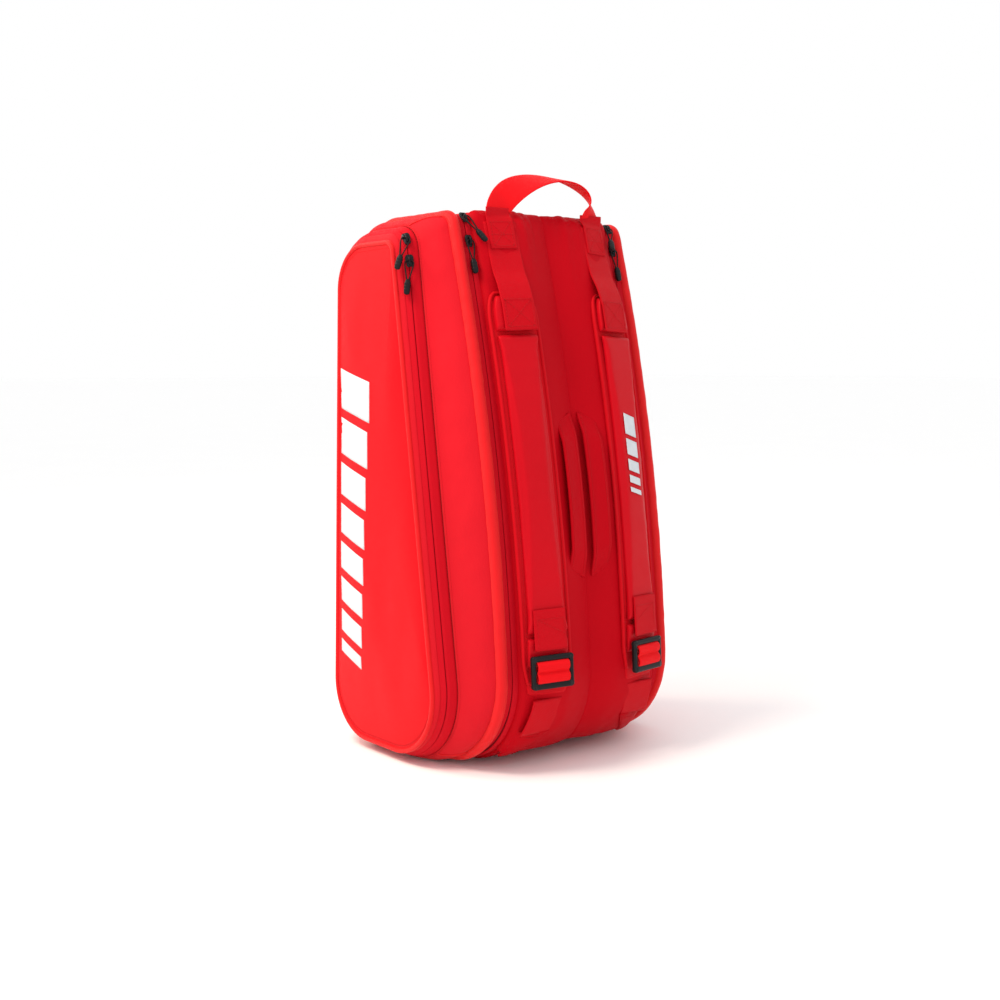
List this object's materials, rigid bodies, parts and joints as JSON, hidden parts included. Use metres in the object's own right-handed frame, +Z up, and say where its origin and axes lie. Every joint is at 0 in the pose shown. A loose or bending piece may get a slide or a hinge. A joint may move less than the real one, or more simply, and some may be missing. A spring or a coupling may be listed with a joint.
{
  "type": "racket tournament bag",
  "caption": "Upright racket bag with two shoulder straps, top loop, carry grips and zipped side compartments that swing open.",
  "frame": {"origin": "middle of the flat base that the bag stands on", "axes": "+Z up along the bag's height, -Y towards the shoulder straps, +X to the bag's right compartment as seen from the strap side"},
  "size_m": [0.3332, 0.2933, 0.636],
  "materials": {
    "slider_black": "satin black painted zinc",
    "pull_black": "black cord and moulded rubber",
    "buckle_black": "satin black acetal",
    "lining": "grey woven lining",
    "board": "stiff plastic board",
    "webbing_red": "woven polyester webbing",
    "zip_tape_red": "knitted coil zip tape",
    "binding_red": "padded binding, satin coated",
    "gusset_red": "matte woven polyester",
    "side_panel_red": "smooth coated polyester, satin",
    "body_red": "woven polyester over foam",
    "pad_red": "smooth coated polyester over foam"
  },
  "bodies": {
    "root": {"back_panel_left": "body_red", "back_panel_right": "body_red", "top_panel": "body_red", "bottom_panel": "body_red", "front_panel": "body_red", "centre_divider": "lining", "base_board": "board", "left_main_zip_body_tape": "zip_tape_red", "right_main_zip_body_tape": "zip_tape_red", "left_anchor_wing": "webbing_red", "right_anchor_wing": "webbing_red", "left_adjuster_webbing": "webbing_red", "right_adjuster_webbing": "webbing_red"},
    "top_handle": {"top_handle": "webbing_red"},
    "left_cover": {"left_cover_piping": "binding_red", "left_gusset": "gusset_red", "left_inner_wall": "lining", "left_main_zip_cover_tape": "zip_tape_red", "left_pocket_zip_cover_tape": "zip_tape_red"},
    "left_pocket": {"left_pocket_zip_panel_tape": "zip_tape_red", "left_pocket_gusset": "gusset_red", "left_side_panel": "side_panel_red"},
    "left_main_slider_upper": {"left_main_slider_upper": "slider_black"},
    "left_main_pull_upper": {"left_main_pull_upper": "pull_black"},
    "left_main_slider_lower": {"left_main_slider_lower": "slider_black"},
    "left_main_pull_lower": {"left_main_pull_lower": "pull_black"},
    "left_pocket_slider_upper": {"left_pocket_slider_upper": "slider_black"},
    "left_pocket_pull_upper": {"left_pocket_pull_upper": "pull_black"},
    "left_pocket_slider_lower": {"left_pocket_slider_lower": "slider_black"},
    "left_pocket_pull_lower": {"left_pocket_pull_lower": "pull_black"},
    "left_strap": {"left_shoulder_pad": "pad_red", "left_upper_webbing": "webbing_red", "left_lower_tab": "webbing_red"},
    "left_buckle": {"left_buckle": "buckle_black", "left_buckle_webbing": "webbing_red"},
    "left_grip": {"left_carry_grip": "webbing_red"},
    "right_cover": {"right_cover_piping": "binding_red", "right_gusset": "gusset_red", "right_inner_wall": "lining", "right_main_zip_cover_tape": "zip_tape_red", "right_pocket_zip_cover_tape": "zip_tape_red"},
    "right_pocket": {"right_pocket_zip_panel_tape": "zip_tape_red", "right_pocket_gusset": "gusset_red", "right_side_panel": "side_panel_red"},
    "right_main_slider_upper": {"right_main_slider_upper": "slider_black"},
    "right_main_pull_upper": {"right_main_pull_upper": "pull_black"},
    "right_main_slider_lower": {"right_main_slider_lower": "slider_black"},
    "right_main_pull_lower": {"right_main_pull_lower": "pull_black"},
    "right_pocket_slider_upper": {"right_pocket_slider_upper": "slider_black"},
    "right_pocket_pull_upper": {"right_pocket_pull_upper": "pull_black"},
    "right_pocket_slider_lower": {"right_pocket_slider_lower": "slider_black"},
    "right_pocket_pull_lower": {"right_pocket_pull_lower": "pull_black"},
    "right_strap": {"right_shoulder_pad": "pad_red", "right_upper_webbing": "webbing_red", "right_lower_tab": "webbing_red"},
    "right_buckle": {"right_buckle": "buckle_black", "right_buckle_webbing": "webbing_red"},
    "right_grip": {"right_carry_grip": "webbing_red"}
  },
  "joints": [
    {"name": "top_handle_swing", "type": "hinge", "parent": "root", "child": "top_handle", "pos_m": [0, -0.052, 0.589], "axis": [1, 0, 0], "range_deg": [-55, 70]},
    {"name": "left_cover_hinge", "type": "hinge", "parent": "root", "child": "left_cover", "pos_m": [-0.102, 0.131, 0.302], "axis": [0, 0.0332, -0.9995], "range_deg": [0, 45]},
    {"name": "left_pocket_hinge", "type": "hinge", "parent": "left_cover", "child": "left_pocket", "pos_m": [-0.148, 0.126, 0.302], "axis": [0, 0.0332, -0.9995], "range_deg": [0, 50]},
    {"name": "left_main_slider_upper_travel", "type": "hinge", "parent": "left_cover", "child": "left_main_slider_upper", "pos_m": [-0.102, -0.02924, 0.57], "axis": [-1, 0, 0], "range_deg": [0, 45]},
    {"name": "left_main_pull_upper_swing", "type": "hinge", "parent": "left_main_slider_upper", "child": "left_main_pull_upper", "pos_m": [-0.102, -0.04322, 0.58173], "axis": [-0.9336, -0.2304, -0.2745], "range_deg": [0, 100]},
    {"name": "left_main_slider_lower_travel", "type": "hinge", "parent": "left_cover", "child": "left_main_slider_lower", "pos_m": [-0.102, 2.01744, -0.01994], "axis": [1, 0, 0], "range_deg": [0, 11.5]},
    {"name": "left_main_pull_lower_swing", "type": "hinge", "parent": "left_main_slider_lower", "child": "left_main_pull_lower", "pos_m": [-0.102, -0.05215, 0.55607], "axis": [-1, 0, 0], "range_deg": [0, 100]},
    {"name": "left_pocket_slider_upper_travel", "type": "hinge", "parent": "left_pocket", "child": "left_pocket_slider_upper", "pos_m": [-0.148, 0.01863, 0.545], "axis": [-1, 0, 0], "range_deg": [0, 55]},
    {"name": "left_pocket_pull_upper_swing", "type": "hinge", "parent": "left_pocket_slider_upper", "child": "left_pocket_pull_upper", "pos_m": [-0.15032, -0.00611, 0.55928], "axis": [-0.6953, 0.6706, 0.2585], "range_deg": [0, 100]},
    {"name": "left_pocket_slider_lower_travel", "type": "slide", "parent": "left_pocket", "child": "left_pocket_slider_lower", "axis": [0, -0.1437, -0.9896], "range_m": [0, 0.42]},
    {"name": "left_pocket_pull_lower_swing", "type": "hinge", "parent": "left_pocket_slider_lower", "child": "left_pocket_pull_lower", "pos_m": [-0.15032, -0.01162, 0.53551], "axis": [-0.8259, 0.5558, 0.0948], "range_deg": [0, 100]},
    {"name": "left_strap_lift", "type": "hinge", "parent": "root", "child": "left_strap", "pos_m": [-0.068, -0.05316, 0.57365], "axis": [-1, 0, 0], "range_deg": [0, 30]},
    {"name": "left_buckle_tilt", "type": "hinge", "parent": "left_strap", "child": "left_buckle", "pos_m": [-0.06806, -0.14482, 0.12815], "axis": [-0.9848, 0.1733, -0.0107], "range_deg": [0, 40]},
    {"name": "left_grip_lift", "type": "slide", "parent": "root", "child": "left_grip", "axis": [0, -0.9896, 0.1438], "range_m": [0, 0.018]},
    {"name": "right_cover_hinge", "type": "hinge", "parent": "root", "child": "right_cover", "pos_m": [0.102, 0.131, 0.302], "axis": [0, -0.0332, 0.9995], "range_deg": [0, 45]},
    {"name": "right_pocket_hinge", "type": "hinge", "parent": "right_cover", "child": "right_pocket", "pos_m": [0.148, 0.126, 0.302], "axis": [0, -0.0332, 0.9995], "range_deg": [0, 50]},
    {"name": "right_main_slider_upper_travel", "type": "hinge", "parent": "right_cover", "child": "right_main_slider_upper", "pos_m": [0.102, -0.02924, 0.57], "axis": [-1, 0, 0], "range_deg": [0, 45]},
    {"name": "right_main_pull_upper_swing", "type": "hinge", "parent": "right_main_slider_upper", "child": "right_main_pull_upper", "pos_m": [0.102, -0.04322, 0.58173], "axis": [-0.9336, 0.2304, 0.2745], "range_deg": [0, 100]},
    {"name": "right_main_slider_lower_travel", "type": "hinge", "parent": "right_cover", "child": "right_main_slider_lower", "pos_m": [0.102, 2.01744, -0.01994], "axis": [1, 0, 0], "range_deg": [0, 11.5]},
    {"name": "right_main_pull_lower_swing", "type": "hinge", "parent": "right_main_slider_lower", "child": "right_main_pull_lower", "pos_m": [0.102, -0.05215, 0.55607], "axis": [-1, 0, 0], "range_deg": [0, 100]},
    {"name": "right_pocket_slider_upper_travel", "type": "hinge", "parent": "right_pocket", "child": "right_pocket_slider_upper", "pos_m": [0.148, 0.01863, 0.545], "axis": [-1, 0, 0], "range_deg": [0, 55]},
    {"name": "right_pocket_pull_upper_swing", "type": "hinge", "parent": "right_pocket_slider_upper", "child": "right_pocket_pull_upper", "pos_m": [0.15032, -0.00611, 0.55928], "axis": [-0.6953, -0.6706, -0.2585], "range_deg": [0, 100]},
    {"name": "right_pocket_slider_lower_travel", "type": "slide", "parent": "right_pocket", "child": "right_pocket_slider_lower", "axis": [0, -0.1437, -0.9896], "range_m": [0, 0.42]},
    {"name": "right_pocket_pull_lower_swing", "type": "hinge", "parent": "right_pocket_slider_lower", "child": "right_pocket_pull_lower", "pos_m": [0.15032, -0.01162, 0.53551], "axis": [-0.8259, -0.5558, -0.0948], "range_deg": [0, 100]},
    {"name": "right_strap_lift", "type": "hinge", "parent": "root", "child": "right_strap", "pos_m": [0.068, -0.05316, 0.57365], "axis": [-1, 0, 0], "range_deg": [0, 30]},
    {"name": "right_buckle_tilt", "type": "hinge", "parent": "right_strap", "child": "right_buckle", "pos_m": [0.06806, -0.14482, 0.12815], "axis": [-0.9848, -0.1733, 0.0107], "range_deg": [0, 40]},
    {"name": "right_grip_lift", "type": "slide", "parent": "root", "child": "right_grip", "axis": [0, -0.9896, 0.1438], "range_m": [0, 0.018]}
  ]
}
